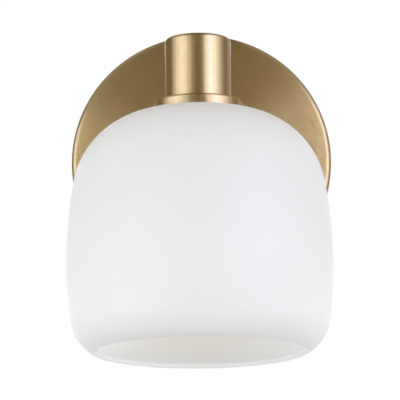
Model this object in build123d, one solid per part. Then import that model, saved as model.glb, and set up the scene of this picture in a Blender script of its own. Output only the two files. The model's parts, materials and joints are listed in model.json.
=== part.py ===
from build123d import *
import os
from math import asin, degrees, radians, sqrt, tan

# A one-light vanity fixture: a round wall plate, a short arm, an upright socket cup and an opal
# glass shade that hangs open end down. Sizes are in millimetres.
# The origin is the centre of the wall plate on the wall plane. +X is to the right of someone who
# faces the light, +Y goes into the wall and +Z is up, so the light reaches out towards -Y.

# Wall plate, a spun pan whose open back lies on the wall
plate_radius = 76.2
plate_depth = 23.0
plate_wall = 1.2
plate_edge_radius = 4.0

# Strap across the outlet box, with the studs that carry the plate
strap_width = 20.0
strap_thickness = 2.0
strap_end = 8.0
box_screw_spacing = 79.4
box_slot_width = 4.8
box_slot_length = 14.3
slot_to_stud = 5.15
slot_to_ground_screw = 12.55
stud_radius = 2.05
stud_hole_clearance = 0.35
stud_lock_nut_flats = 8.7
stud_lock_nut_height = 3.2
cap_nut_radius = 5.0
cap_nut_height = 10.0
cap_nut_dome_height = 3.0
cap_nut_thread_depth = 7.0
stud_tip_gap = 1.0

# Grounding screw with a washer under its hexagon head
ground_screw_radius = 2.0
ground_washer_radius = 4.6
ground_washer_thickness = 0.9
ground_head_flats = 6.4
ground_head_height = 2.4

# Arm, a plain tube drawn tight between plate and cup by a threaded pipe
arm_rise = 33.6
arm_reach = 108.0
arm_radius = 7.0
arm_wall = 1.4
pipe_radius = 4.8
pipe_bore_radius = 3.4
pipe_hole_clearance = 0.35
pipe_nut_flats = 14.0
pipe_nut_height = 5.0
pipe_tail = 2.0
lock_washer_radius = 7.6
lock_washer_thickness = 0.8
lock_washer_teeth = 10
lock_washer_notch = 1.4
lock_washer_notch_depth = 1.2

# Socket cup, a drawn brass tube with a closed round-edged top
cup_radius = 18.65
cup_wall = 1.2
cup_above_arm = 18.2
cup_below_arm = 18.1
cup_edge_radius = 2.0

# Saddle washer and bracket that carry the lamp socket inside the cup
saddle_width = 15.0
saddle_thickness = 2.95
bracket_width = 17.0
bracket_thickness = 1.5
bracket_top = 8.5
bracket_tongue = 9.0
bracket_lift = 2.6
bracket_bend = 1.0
bracket_screw_offset = 5.0
bracket_screw_forward = 2.0
bracket_screw_radius = 1.5
bracket_screw_head_radius = 2.7
bracket_screw_head_height = 1.8
bracket_screw_length = 6.0

# Collar under the cup, which hides the gasket and seats the glass
collar_height = 6.2
collar_overhang = 2.46
collar_edge_radius = 1.3
collar_skirt = 1.3
collar_skirt_gap = 0.3
spigot_height = 3.0
spigot_wall = 1.15

# Lamp socket for a medium screw base
lamp_thread_radius = 13.3
shell_thickness = 0.5
shell_length = 19.5
shell_recess = 1.5
shell_hole_radius = 9.0
socket_skirt_wall = 4.4
socket_skirt_length = 32.3
socket_well_radius = 11.0
socket_well_depth = 3.5
socket_edge_radius = 0.8
contact_thickness = 0.6
contact_width = 6.0
contact_anchor = 9.0
contact_flat = 5.0
contact_nose = 0.5
contact_tip = 4.0
contact_drop = 2.8
contact_tip_lift = 0.6
rivet_radius = 1.4
rivet_head_radius = 2.4
rivet_head_height = 0.8
rivet_length = 2.5

# Opal glass shade, an even wall that follows three arcs from the neck to the lip
shade_wall = 3.2
neck_clearance = 0.9
neck_flat = 3.44
neck_edge_radius = 0.5
shoulder_radius = 48.6
shoulder_angle = 80.35
side_radius = 266.5
side_angle = 16.85
corner_radius = 23.0
corner_angle = 55.35

# Gaskets above and below the glass, and the ring that clamps them from inside the shade
gasket_thickness = 1.0
gasket_margin = 0.2
ring_height = 7.0
ring_flange_height = 2.2
ring_flange_overlap = 1.0
ring_wall = 3.0
ring_flutes = 20
ring_flute_radius = 1.1
ring_flute_depth = 0.6

# Insulated leads from the socket to the splices behind the plate, and their twist-on connectors
lead_radius = 1.0
lead_spacing = 1.6
lead_hole_offset = 11.0
lead_hole_depth = 3.0
lead_rise = 6.5
lead_inset = 0.7
lead_lean = 5.0
lead_bow = 9.5
lead_wave = 0.6
lead_turn = 4.0
lead_approach = 1.4
lead_entry = 9.0
lead_exit = 4.5
ground_lead_radius = 0.8
ground_lead_edge = 1.0
ground_lead_drop = 5.0
connector_length = 20.0
connector_mouth_radius = 5.0
connector_tip_radius = 2.4
connector_skirt = 5.0
connector_hole_depth = 8.5
connector_start = 14.0
connector_out = 8.0
lead_end_gap = 1.0

# Fits: what slides together, what turns on a thread and what only has to pass
seat_fit = 0.1
thread_fit = 0.1
pass_fit = 0.4
lead_fit = 0.15

# Places worked out from the sizes above
stud_offset = box_screw_spacing / 2 + box_slot_length / 2 + slot_to_stud
ground_offset = box_screw_spacing / 2 - box_slot_length / 2 - slot_to_ground_screw
plate_floor = plate_depth - plate_wall
pipe_hole_radius = pipe_radius + pipe_hole_clearance
cup_bore = cup_radius - cup_wall
cup_top = arm_rise + cup_above_arm
cup_bottom = arm_rise - cup_below_arm
saddle_out = arm_reach - cup_bore + saddle_thickness
bracket_floor = cup_bottom + spigot_height + bracket_lift
shade_top = cup_bottom - collar_height
collar_underside = shade_top + gasket_thickness
spigot_radius = cup_bore - seat_fit
collar_bore = spigot_radius - spigot_wall
socket_head_radius = collar_bore - pass_fit
shell_radius = lamp_thread_radius + shell_thickness
socket_cavity = shell_radius + seat_fit
socket_skirt_radius = socket_cavity + socket_skirt_wall
neck_radius = socket_skirt_radius + neck_clearance
neck_flat_radius = neck_radius + neck_flat
collar_radius = neck_flat_radius + collar_overhang
gasket_inner = neck_radius + gasket_margin
gasket_outer = neck_flat_radius - gasket_margin
ring_top = shade_top - shade_wall - gasket_thickness
socket_bottom = collar_underside - socket_skirt_length
shell_seat = socket_bottom + shell_recess + shell_length
socket_well_top = shell_seat + socket_well_depth

# Local z points out of the wall and local y up, for the pieces that line up with the wall
outward = Rot(90, 0, 0)
shade_axis = Pos(0, -arm_reach, 0)
arm_axis = outward * Pos(0, arm_rise, 0)


def turned(*outline):
    """Solid turned about Z from a closed outline of (radius, height) points."""
    return revolve(make_face(Plane.XZ * Polyline(*outline, close=True)), Axis.Z)


def tube(outer, inner, low, high):
    """Round tube about Z."""
    return turned((inner, low), (outer, low), (outer, high), (inner, high))


def rod(radius, low, high):
    """Round bar about Z."""
    return Pos(0, 0, low) * Cylinder(radius, high - low, align=(Align.CENTER, Align.CENTER, Align.MIN))


def hexagon_bar(flats, low, high):
    """Six-sided bar along Z with its corners turned off at both ends."""
    corner = flats / sqrt(3)
    ease = (corner - flats / 2) * tan(radians(30))
    blank = Pos(0, 0, low) * extrude(RegularPolygon(flats / 2, 6, major_radius=False), high - low)
    crown = turned(
        (0, low), (flats / 2, low), (corner, low + ease),
        (corner, high - ease), (flats / 2, high), (0, high),
    )
    return blank & crown


def round_edges(part, radius):
    """Circular edges of one radius, wherever they lie on the part."""
    circles = part.edges().filter_by(GeomType.CIRCLE)
    return circles.filter_by(lambda edge: abs(edge.radius - radius) < 0.001)


def lead(points, radius):
    """Wire along straight runs joined by arcs as wide as the shorter run beside each corner allows."""
    places = [Vector(*point) for point in points]
    runs = [after - before for before, after in zip(places, places[1:])]
    bends = []
    for before, after in zip(runs, runs[1:]):
        half_turn = radians(before.get_angle(after) / 2)
        bends.append(0.45 * min(before.length, after.length) / tan(half_turn))
    path = FilletPolyline(*places, radius=bends)
    return sweep(Plane(origin=path @ 0, z_dir=path % 0) * Circle(radius), path=path)


def mounting_strap():
    bar = extrude(SlotOverall(2 * (stud_offset + strap_end), strap_width), strap_thickness)
    for side in (-1, 1):
        slot = SlotOverall(box_slot_length, box_slot_width)
        bar -= Pos(side * box_screw_spacing / 2, 0, 0) * extrude(slot, strap_thickness)
        bar -= Pos(side * stud_offset, 0, 0) * rod(stud_radius + thread_fit, 0, strap_thickness)
    bar -= Pos(ground_offset, 0, 0) * rod(ground_screw_radius + thread_fit, 0, strap_thickness)
    return outward * bar


def both_studs(piece):
    """The same piece on the left and the right stud."""
    return Compound(children=[outward * Pos(side * stud_offset, 0, 0) * piece for side in (-1, 1)])


def mounting_studs():
    tip = plate_depth + cap_nut_thread_depth - stud_tip_gap
    return both_studs(rod(stud_radius, 0, tip))


def stud_lock_nuts():
    top = strap_thickness + stud_lock_nut_height
    nut = hexagon_bar(stud_lock_nut_flats, strap_thickness, top)
    return both_studs(nut - rod(stud_radius + thread_fit, strap_thickness, top))


def cap_nuts():
    dome_top = plate_depth + cap_nut_height
    dome_radius = (cap_nut_radius**2 + cap_nut_dome_height**2) / (2 * cap_nut_dome_height)
    dome_sweep = degrees(asin(cap_nut_radius / dome_radius))
    with BuildSketch(Plane.XZ) as section:
        with BuildLine():
            dome = JernArc((0, dome_top), (1, 0), dome_radius, -dome_sweep)
            Polyline(dome @ 1, (cap_nut_radius, plate_depth), (0, plate_depth), dome @ 0)
        make_face()
    nut = revolve(section.sketch, Axis.Z)
    return both_studs(nut - rod(stud_radius + thread_fit, plate_depth, plate_depth + cap_nut_thread_depth))


def ground_lead_height():
    """How far the bare ground lead lifts the screw's washer off the strap."""
    return strap_thickness + 2 * (ground_lead_radius + lead_fit)


def ground_screw():
    seat = ground_lead_height()
    flange = seat + ground_washer_thickness
    screw = rod(ground_screw_radius, 0, flange) + rod(ground_washer_radius, seat, flange)
    screw += hexagon_bar(ground_head_flats, flange, flange + ground_head_height)
    return outward * Pos(ground_offset, 0, 0) * screw


def wall_plate():
    pan = rod(plate_radius, 0, plate_depth)
    pan = fillet(round_edges(pan, plate_radius).sort_by(Axis.Z)[-1], plate_edge_radius)
    hollow_radius = plate_radius - plate_wall
    hollow = rod(hollow_radius, 0, plate_floor)
    inner_edge = round_edges(hollow, hollow_radius).sort_by(Axis.Z)[-1]
    pan -= fillet(inner_edge, plate_edge_radius - plate_wall)
    for side in (-1, 1):
        pan -= Pos(side * stud_offset, 0, 0) * rod(stud_radius + stud_hole_clearance, 0, plate_depth)
    pan -= Pos(0, arm_rise, 0) * rod(pipe_hole_radius, 0, plate_depth)
    return outward * pan


def arm_tube():
    straight = arm_axis * tube(arm_radius, arm_radius - arm_wall, plate_depth, arm_reach)
    return straight - shade_axis * rod(cup_radius + seat_fit, cup_bottom, cup_top)


def pipe_ends():
    """Distances out from the wall of the pipe's rear and front ends, past their nuts."""
    stack = lock_washer_thickness + pipe_nut_height + pipe_tail
    return plate_floor - stack, saddle_out + bracket_thickness + stack


def threaded_pipe():
    rear, front = pipe_ends()
    return arm_axis * tube(pipe_radius, pipe_bore_radius, rear, front)


def pipe_lock_washers():
    blank = tube(lock_washer_radius, pipe_hole_radius, 0, lock_washer_thickness)
    notch = Box(lock_washer_notch_depth * 2, lock_washer_notch, lock_washer_thickness * 2)
    for tooth in range(lock_washer_teeth):
        blank -= Rot(0, 0, tooth * 360 / lock_washer_teeth) * Pos(lock_washer_radius, 0, 0) * notch
    rear = plate_floor - lock_washer_thickness
    front = saddle_out + bracket_thickness
    return Compound(children=[arm_axis * Pos(0, 0, out) * blank for out in (rear, front)])


def pipe_nuts():
    nut = hexagon_bar(pipe_nut_flats, 0, pipe_nut_height) - rod(pipe_radius + thread_fit, 0, pipe_nut_height)
    rear = plate_floor - lock_washer_thickness - pipe_nut_height
    front = saddle_out + bracket_thickness + lock_washer_thickness
    return Compound(children=[arm_axis * Pos(0, 0, out) * nut for out in (rear, front)])


def saddle_washer():
    back = arm_reach - cup_bore
    block = Box(saddle_width, saddle_width, saddle_thickness, align=(Align.CENTER, Align.CENTER, Align.MIN))
    block = arm_axis * Pos(0, 0, back) * block
    block &= shade_axis * rod(cup_bore - seat_fit, cup_bottom, cup_top)
    return block - arm_axis * rod(pipe_hole_radius, back, saddle_out)


def socket_cup():
    shell = rod(cup_radius, cup_bottom, cup_top)
    shell = fillet(round_edges(shell, cup_radius).sort_by(Axis.Z)[-1], cup_edge_radius)
    hollow = rod(cup_bore, cup_bottom, cup_top - cup_wall)
    hollow = fillet(round_edges(hollow, cup_bore).sort_by(Axis.Z)[-1], cup_edge_radius - cup_wall)
    return shade_axis * (shell - hollow) - arm_axis * rod(pipe_hole_radius, plate_depth, arm_reach)


def socket_bracket():
    back = -saddle_out
    front = -arm_reach - bracket_tongue
    low = bracket_floor
    high = arm_rise + bracket_top
    face_back = back - bracket_thickness
    shelf = low + bracket_thickness
    outline = Polyline(
        (back, low), (back, high), (face_back, high), (face_back, shelf), (front, shelf), (front, low),
        close=True,
    )
    angle = extrude(make_face(Plane.YZ * outline), bracket_width / 2, both=True)
    bends = angle.edges().filter_by(Axis.X)
    inner = bends.sort_by_distance((0, face_back, shelf))[0]
    angle = fillet(inner, bracket_bend)
    outer = angle.edges().filter_by(Axis.X).sort_by_distance((0, back, low))[0]
    angle = fillet(outer, bracket_bend + bracket_thickness)
    angle -= arm_axis * rod(pipe_hole_radius, saddle_out, saddle_out + bracket_thickness)
    for side in (-1, 1):
        angle -= bracket_screw_place(side) * rod(bracket_screw_radius + seat_fit, low, shelf)
    return angle


def bracket_screw_place(side):
    return shade_axis * Pos(side * bracket_screw_offset, -bracket_screw_forward, 0)


def bracket_screws():
    seat = bracket_floor + bracket_thickness
    screw = rod(bracket_screw_radius, bracket_floor - bracket_screw_length, seat)
    screw += rod(bracket_screw_head_radius, seat, seat + bracket_screw_head_height)
    return Compound(children=[bracket_screw_place(side) * screw for side in (-1, 1)])


def shade_collar():
    skirt_low = shade_top + collar_skirt_gap
    skirt_bore = collar_radius - collar_skirt
    spigot_top = cup_bottom + spigot_height
    ring = turned(
        (collar_bore, collar_underside), (skirt_bore, collar_underside), (skirt_bore, skirt_low),
        (collar_radius, skirt_low), (collar_radius, cup_bottom), (spigot_radius, cup_bottom),
        (spigot_radius, spigot_top), (collar_bore, spigot_top),
    )
    return shade_axis * fillet(round_edges(ring, collar_radius).sort_by(Axis.Z)[-1], collar_edge_radius)


def rivet_place():
    return shade_axis * Pos(contact_flat / 2 - contact_anchor, 0, 0)


def socket_body():
    body = turned(
        (0, bracket_floor), (socket_head_radius, bracket_floor), (socket_head_radius, collar_underside),
        (socket_skirt_radius, collar_underside), (socket_skirt_radius, socket_bottom),
        (socket_cavity, socket_bottom), (socket_cavity, shell_seat), (socket_well_radius, shell_seat),
        (socket_well_radius, socket_well_top), (0, socket_well_top),
    )
    body = fillet(round_edges(body, socket_head_radius).sort_by(Axis.Z)[-1], socket_edge_radius)
    body = fillet(round_edges(body, socket_skirt_radius).sort_by(Axis.Z)[0], socket_edge_radius)
    body = shade_axis * body
    screw_bottom = bracket_floor - bracket_screw_length
    body -= rivet_place() * rod(rivet_radius + seat_fit, socket_well_top, socket_well_top + rivet_length)
    for side in (-1, 1):
        body -= bracket_screw_place(side) * rod(bracket_screw_radius + seat_fit, screw_bottom, bracket_floor)
        lead_hole = rod(lead_radius + lead_fit, bracket_floor - lead_hole_depth, bracket_floor)
        body -= shade_axis * Pos(side * lead_hole_offset, 0, 0) * lead_hole
    return body


def screw_shell():
    low = socket_bottom + shell_recess
    return shade_axis * turned(
        (lamp_thread_radius, low), (shell_radius, low), (shell_radius, shell_seat),
        (shell_hole_radius, shell_seat), (shell_hole_radius, shell_seat - shell_thickness),
        (lamp_thread_radius, shell_seat - shell_thickness),
    )


def centre_contact():
    top = [
        (-contact_anchor, socket_well_top),
        (contact_flat - contact_anchor, socket_well_top),
        (contact_nose, socket_well_top - contact_drop),
        (contact_tip, socket_well_top - contact_drop + contact_tip_lift),
    ]
    under = [(x, z - contact_thickness) for x, z in reversed(top)]
    spring = extrude(make_face(Plane.XZ * Polyline(*top, *under, close=True)), contact_width / 2, both=True)
    head_low = socket_well_top - contact_thickness - rivet_head_height
    rivet = rod(rivet_radius, socket_well_top - contact_thickness, socket_well_top + rivet_length)
    rivet += rod(rivet_head_radius, head_low, socket_well_top - contact_thickness)
    return shade_axis * spring + rivet_place() * rivet


def glass_shade():
    with BuildSketch(Plane.XZ) as section:
        with BuildLine():
            crown = Line((neck_radius, shade_top), (neck_flat_radius, shade_top))
            shoulder = JernArc(crown @ 1, crown % 1, shoulder_radius, -shoulder_angle)
            side = JernArc(shoulder @ 1, shoulder % 1, side_radius, -side_angle)
            corner = JernArc(side @ 1, side % 1, corner_radius, -corner_angle)
            lip = JernArc(corner @ 1, corner % 1, shade_wall / 2, -180)
            inner_corner = JernArc(lip @ 1, lip % 1, corner_radius - shade_wall, corner_angle)
            inner_side = JernArc(inner_corner @ 1, inner_corner % 1, side_radius - shade_wall, side_angle)
            inner_shoulder = JernArc(
                inner_side @ 1, inner_side % 1, shoulder_radius - shade_wall, shoulder_angle
            )
            Polyline(inner_shoulder @ 1, (neck_radius, shade_top - shade_wall), crown @ 0)
        make_face()
    shell = revolve(section.sketch, Axis.Z)
    return shade_axis * fillet(round_edges(shell, neck_radius), neck_edge_radius)


def upper_gasket():
    return shade_axis * tube(gasket_outer, gasket_inner, shade_top, collar_underside)


def lower_gasket():
    glass_underside = shade_top - shade_wall
    return shade_axis * tube(gasket_outer, gasket_inner, ring_top, glass_underside)


def shade_ring():
    bore = socket_skirt_radius + thread_fit
    body_radius = bore + ring_wall
    flange_low = ring_top - ring_flange_height
    low = ring_top - ring_height
    ring = tube(neck_flat_radius + ring_flange_overlap, bore, flange_low, ring_top)
    ring += tube(body_radius, bore, low, flange_low)
    groove_centre = body_radius + ring_flute_radius - ring_flute_depth
    groove = Pos(groove_centre, 0, 0) * rod(ring_flute_radius, low, flange_low)
    for flute in range(ring_flutes):
        ring -= Rot(0, 0, flute * 360 / ring_flutes) * groove
    return shade_axis * ring


def socket_lead(side):
    """Lead from the socket's top, round in front of the pipe, through it and out to a splice."""
    rear, front = pipe_ends()
    hole = bracket_floor - lead_hole_depth
    return lead(
        [
            (side * lead_hole_offset, -arm_reach, hole),
            (side * lead_hole_offset, -arm_reach, bracket_floor + lead_rise),
            (side * (lead_hole_offset - lead_inset), -arm_reach - lead_lean, arm_rise - lead_wave),
            (side * (lead_spacing + lead_approach + lead_turn), -arm_reach - lead_bow, arm_rise + lead_wave),
            (side * (lead_spacing + lead_approach), -arm_reach - lead_bow, arm_rise + lead_wave),
            (side * lead_spacing, -front - lead_entry, arm_rise),
            (side * lead_spacing, -rear + lead_exit, arm_rise),
            (side * (connector_start - lead_exit), -connector_out, arm_rise),
            (side * (connector_start + connector_hole_depth - lead_end_gap), -connector_out, arm_rise),
        ],
        lead_radius,
    )


def ground_lead_x():
    return ground_offset + ground_screw_radius + ground_lead_radius + lead_fit


def ground_lead():
    """Bare lead that passes under the grounding screw's washer and down to its own splice."""
    x = ground_lead_x()
    flat = -strap_thickness - ground_lead_radius - lead_fit
    edge = strap_width / 2
    splice = -edge - connector_start / 2 - connector_hole_depth
    return lead(
        [
            (x, flat, ground_washer_radius),
            (x, flat, -edge + ground_lead_edge),
            (x, -connector_out, -edge - ground_lead_drop),
            (x, -connector_out, splice + lead_end_gap),
        ],
        ground_lead_radius,
    )


def wire_connectors():
    def connector(wire_radius):
        hole = wire_radius + lead_fit
        return turned(
            (hole, 0), (connector_mouth_radius, 0), (connector_mouth_radius, connector_skirt),
            (connector_tip_radius, connector_length), (0, connector_length),
            (0, connector_hole_depth), (hole, connector_hole_depth),
        )

    caps = []
    for side in (-1, 1):
        mouth = Pos(side * connector_start, -connector_out, arm_rise) * Rot(0, side * 90, 0)
        caps.append(mouth * connector(lead_radius))
    below_strap = -strap_width / 2 - connector_start / 2
    mouth = Pos(ground_lead_x(), -connector_out, below_strap) * Rot(180, 0, 0)
    caps.append(mouth * connector(ground_lead_radius))
    return Compound(children=caps)


pieces = {
    "mounting_strap": mounting_strap(),
    "mounting_studs": mounting_studs(),
    "stud_lock_nuts": stud_lock_nuts(),
    "ground_screw": ground_screw(),
    "wall_plate": wall_plate(),
    "cap_nuts": cap_nuts(),
    "arm_tube": arm_tube(),
    "threaded_pipe": threaded_pipe(),
    "pipe_lock_washers": pipe_lock_washers(),
    "pipe_nuts": pipe_nuts(),
    "saddle_washer": saddle_washer(),
    "socket_cup": socket_cup(),
    "socket_bracket": socket_bracket(),
    "bracket_screws": bracket_screws(),
    "shade_collar": shade_collar(),
    "socket_body": socket_body(),
    "screw_shell": screw_shell(),
    "centre_contact": centre_contact(),
    "upper_gasket": upper_gasket(),
    "glass_shade": glass_shade(),
    "lower_gasket": lower_gasket(),
    "shade_ring": shade_ring(),
    "line_lead": socket_lead(-1),
    "neutral_lead": socket_lead(1),
    "ground_lead": ground_lead(),
    "wire_connectors": wire_connectors(),
}

os.makedirs("parts", exist_ok=True)
for name, piece in pieces.items():
    export_step(piece, f"parts/{name}.step")
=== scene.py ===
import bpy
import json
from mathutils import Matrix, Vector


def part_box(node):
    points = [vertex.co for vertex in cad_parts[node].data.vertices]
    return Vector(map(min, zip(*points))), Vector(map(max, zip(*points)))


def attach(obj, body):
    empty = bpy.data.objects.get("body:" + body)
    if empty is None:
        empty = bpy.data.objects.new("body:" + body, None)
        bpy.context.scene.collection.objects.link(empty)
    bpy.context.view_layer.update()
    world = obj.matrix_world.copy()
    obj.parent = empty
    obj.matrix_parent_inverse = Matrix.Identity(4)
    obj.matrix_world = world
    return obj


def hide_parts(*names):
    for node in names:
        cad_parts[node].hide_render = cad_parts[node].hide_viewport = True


bl_info = {
    "name": "Vanity light",
    "version": (1, 0, 0),
    "blender": (4, 5, 0),
    "location": "View3D > Sidebar > Vanity light",
    "description": "Visible pieces, finishes and studio of a one-light vanity fixture over its packed frame",
    "category": "Object",
}

import json
from math import cos, pi, radians, sin, tan

import bmesh
import bpy
import numpy as np
from bpy.props import FloatProperty, FloatVectorProperty, IntProperty, PointerProperty
from mathutils import Matrix, Vector

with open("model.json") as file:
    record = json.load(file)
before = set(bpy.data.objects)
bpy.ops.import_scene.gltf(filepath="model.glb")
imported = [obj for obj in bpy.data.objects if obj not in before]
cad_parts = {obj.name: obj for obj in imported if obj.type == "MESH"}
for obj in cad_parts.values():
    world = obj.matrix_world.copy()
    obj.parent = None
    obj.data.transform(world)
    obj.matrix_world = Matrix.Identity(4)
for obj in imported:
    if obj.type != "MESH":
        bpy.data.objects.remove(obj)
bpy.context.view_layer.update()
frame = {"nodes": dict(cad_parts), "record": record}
TURN = 2 * pi
# Points closer than this are one, and edges shorter than this are dropped.
MERGE, SLIVER = 1e-6, 1e-7


def low(node):
    """Lowest corner of a CAD node."""
    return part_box(node)[0]


def high(node):
    """Highest corner of a CAD node."""
    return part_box(node)[1]


def middle(node):
    """Middle of a CAD node's box."""
    return (low(node) + high(node)) / 2


def maker(kind, **fixed):
    """Function that makes properties of a kind from a name, a description and a default."""

    def make(name, description, default):
        return kind(name=name, description=description, default=default, **fixed)

    return make


def angle(name, description, degrees):
    return FloatProperty(name=name, description=description, default=radians(degrees), unit="ROTATION")


length = maker(FloatProperty, unit="LENGTH", precision=5)
share = maker(FloatProperty, min=0, max=1, subtype="FACTOR")
plain = maker(FloatProperty, min=0)
count = maker(IntProperty, min=1)
colour = maker(FloatVectorProperty, size=3, subtype="COLOR", min=0, max=1)


class PlateSizes(bpy.types.PropertyGroup):
    radius: length("Radius", "Outer radius of the wall plate", high("wall_plate").x)
    depth: length("Depth", "How far the plate stands off the wall", -low("wall_plate").y)
    wall: length("Wall", "Thickness of the spun sheet", 0.0012)
    edge: length("Edge radius", "Rounding of the front edge", 0.0032)
    crown: length("Crown radius", "Radius of the shallow arc from the flat front into the edge", 0.1)
    crown_turn: angle("Crown turn", "Angle that the shallow arc turns through", 4)
    rim: length("Rim edge", "Rounding of the edge on the wall", 0.00036)
    hold: length("Hold", "Distance inside the crown of the points that hold the front flat", 0.0005)


class ArmSizes(bpy.types.PropertyGroup):
    rise: length("Rise", "Height of the arm above the plate's centre", middle("arm_tube").z)
    radius: length("Radius", "Outer radius of the arm", high("arm_tube").x)
    wall: length("Wall", "Wall of the arm", 0.0014)
    pipe_radius: length("Pipe radius", "Outer radius of the threaded pipe", high("threaded_pipe").x)
    pipe_bore: length("Pipe bore", "Bore radius of the threaded pipe", 0.0034)
    pipe_pitch: length("Pipe pitch", "Thread pitch of the pipe", 0.00094)
    pipe_thread: length("Pipe thread", "Depth of the pipe's thread", 0.0005)


class CupSizes(bpy.types.PropertyGroup):
    reach: length("Reach", "Distance from the wall to the upright axis", -middle("socket_cup").y)
    radius: length("Radius", "Outer radius of the socket cup", high("socket_cup").x)
    wall: length("Wall", "Wall of the cup", 0.0012)
    edge: length("Edge radius", "Rounding of the closed top", 0.002)
    rim: length("Rim edge", "Rounding of the open end", 0.0002)
    fit: length("Fit", "Gap between the arm's end and the cup", 0.0001)
    collar_radius: length("Collar radius", "Outer radius of the collar", high("shade_collar").x)
    collar_edge: length("Collar edge", "Rounding of the collar's upper edge", 0.0013)
    collar_skirt: length("Collar skirt", "Width of the lip that hides the gasket", 0.0013)
    collar_bore: length("Collar bore", "Inner radius of the collar", 0.0162)
    collar_ease: length("Collar ease", "Rounding of the collar's small edges", 0.0003)
    spigot: length("Spigot radius", "Radius of the part of the collar that enters the cup", 0.01735)


class ShadeSizes(bpy.types.PropertyGroup):
    wall: length("Wall", "Thickness of the blown glass", 0.0032)
    neck: length("Neck", "Radius of the hole that the socket passes through", 0.0192)
    flat: length("Flat radius", "Radius where the flat crown goes over into the shoulder", 0.02264)
    neck_edge: length("Neck edge", "Rounding of the neck hole", 0.0005)
    shoulder: length("Shoulder radius", "Radius of the shoulder's arc", 0.0486)
    shoulder_turn: angle("Shoulder turn", "Angle that the shoulder's arc turns through", 80.35)
    side: length("Side radius", "Radius of the side's shallow arc", 0.2665)
    side_turn: angle("Side turn", "Angle that the side's arc turns through", 16.85)
    corner: length("Corner radius", "Radius of the arc above the lip", 0.023)
    corner_turn: angle("Corner turn", "Angle that the corner's arc turns through", 55.35)


class SocketSizes(bpy.types.PropertyGroup):
    skirt: length("Skirt radius", "Outer radius of the threaded skirt", high("socket_body").x)
    head: length("Head radius", "Radius of the part inside the collar", 0.0158)
    cavity: length("Cavity", "Radius of the hollow that holds the screw shell", 0.0139)
    well: length("Well radius", "Radius of the recess around the contact", 0.011)
    well_depth: length("Well depth", "Depth of that recess", 0.0035)
    edge: length("Edge radius", "Rounding of the porcelain's edges", 0.0008)
    ease: length("Mouth ease", "Chamfer of the hollow's mouth", 0.0003)
    pitch: length("Skirt pitch", "Thread pitch of the skirt", 0.003)
    thread: length("Skirt thread", "Depth of the skirt's thread", 0.0006)
    lamp_pitch: length("Lamp pitch", "Thread pitch of the screw shell", 0.00363)
    lamp_thread: length("Lamp thread", "Depth of the shell's rolled thread", 0.0008)
    shell_bore: length("Shell bore", "Largest inner radius of the screw shell", 0.0133)
    shell_wall: length("Shell wall", "Thickness of the shell", 0.0005)
    shell_hole: length("Shell hole", "Hole around the centre contact", 0.009)


class RingSizes(bpy.types.PropertyGroup):
    flange: length("Flange radius", "Radius of the flange under the gasket", high("shade_ring").x)
    flange_height: length("Flange height", "Height of the flange", 0.0022)
    body: length("Body radius", "Radius of the fluted grip", 0.0214)
    bore: length("Bore", "Radius of the threaded hole", 0.0184)
    flutes: count("Flutes", "Number of finger flutes", 20)
    flute_radius: length("Flute radius", "Radius of each flute", 0.0011)
    flute_depth: length("Flute depth", "Depth of each flute", 0.0006)
    edge: length("Edge radius", "Rounding of the ring's edges", 0.0004)


class FastenerSizes(bpy.types.PropertyGroup):
    stud_offset: length("Stud offset", "Distance of each stud from the plate's centre", 0.052)
    stud_radius: length("Stud radius", "Outer radius of the stud's thread", 0.00205)
    stud_pitch: length("Stud pitch", "Thread pitch of the studs", 0.00079)
    stud_thread: length("Stud thread", "Depth of the studs' thread", 0.0004)
    nut_radius: length("Cap nut radius", "Radius over the cap nut's knurl", 0.005)
    nut_height: length("Cap nut height", "Height of the cap nut", 0.01)
    nut_dome: length("Cap nut dome", "Height of the domed end", 0.003)
    nut_foot: length("Cap nut foot", "How far the foot draws in towards the plate", 0.0008)
    nut_ease: length("Cap nut ease", "Height over which the knurls run out", 0.0003)
    knurls: count("Knurls", "Straight knurls round each cap nut", 40)
    knurl_depth: length("Knurl depth", "Depth of the knurls", 0.00028)


class WiringSizes(bpy.types.PropertyGroup):
    lead: length("Lead radius", "Radius of the insulated leads", 0.001)
    ground_lead: length("Ground lead radius", "Radius of the bare lead", 0.0008)
    connector: length("Connector length", "Length of a twist-on connector", 0.02)
    mouth: length("Connector mouth", "Radius at the open end", 0.005)
    tip: length("Connector tip", "Radius at the closed end", 0.0024)
    skirt: length("Connector skirt", "Length of the straight skirt", 0.005)
    wall: length("Connector wall", "Wall round the open end", 0.0011)
    recess: length("Connector recess", "Depth of the open end", 0.0012)
    ribs: count("Ribs", "Grip ribs round a connector", 12)
    rib_depth: share("Rib depth", "Depth between the ribs as a share of the radius", 0.1)
    rib_ease: length("Rib ease", "Height over which the ribs run out", 0.001)


class FinishColours(bpy.types.PropertyGroup):
    brass: colour("Brass", "Satin brass", (0.487, 0.356, 0.175))
    brass_deep: colour("Deep brass", "Brass where the brushing runs deeper", (0.447, 0.323, 0.154))
    glass: colour("Opal glass", "White opal glass", (0.995, 0.995, 0.995))
    zinc: colour("Zinc", "Bright zinc plate", (0.66, 0.67, 0.68))
    green: colour("Green zinc", "Dyed grounding screw", (0.05, 0.33, 0.14))
    porcelain: colour("Porcelain", "Glazed lamp socket", (0.82, 0.81, 0.78))
    nickel: colour("Nickel", "Plated screw shell", (0.68, 0.65, 0.58))
    contact: colour("Contact brass", "Bare spring brass", (0.70, 0.52, 0.26))
    silicone: colour("Silicone", "Gaskets", (0.75, 0.75, 0.73))
    black: colour("Black insulation", "Line lead", (0.02, 0.02, 0.02))
    white: colour("White insulation", "Neutral lead", (0.80, 0.80, 0.78))
    copper: colour("Copper", "Bare ground lead", (0.62, 0.28, 0.14))
    connector: colour("Connector", "Moulded twist-on connectors", (0.78, 0.30, 0.05))


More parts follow.
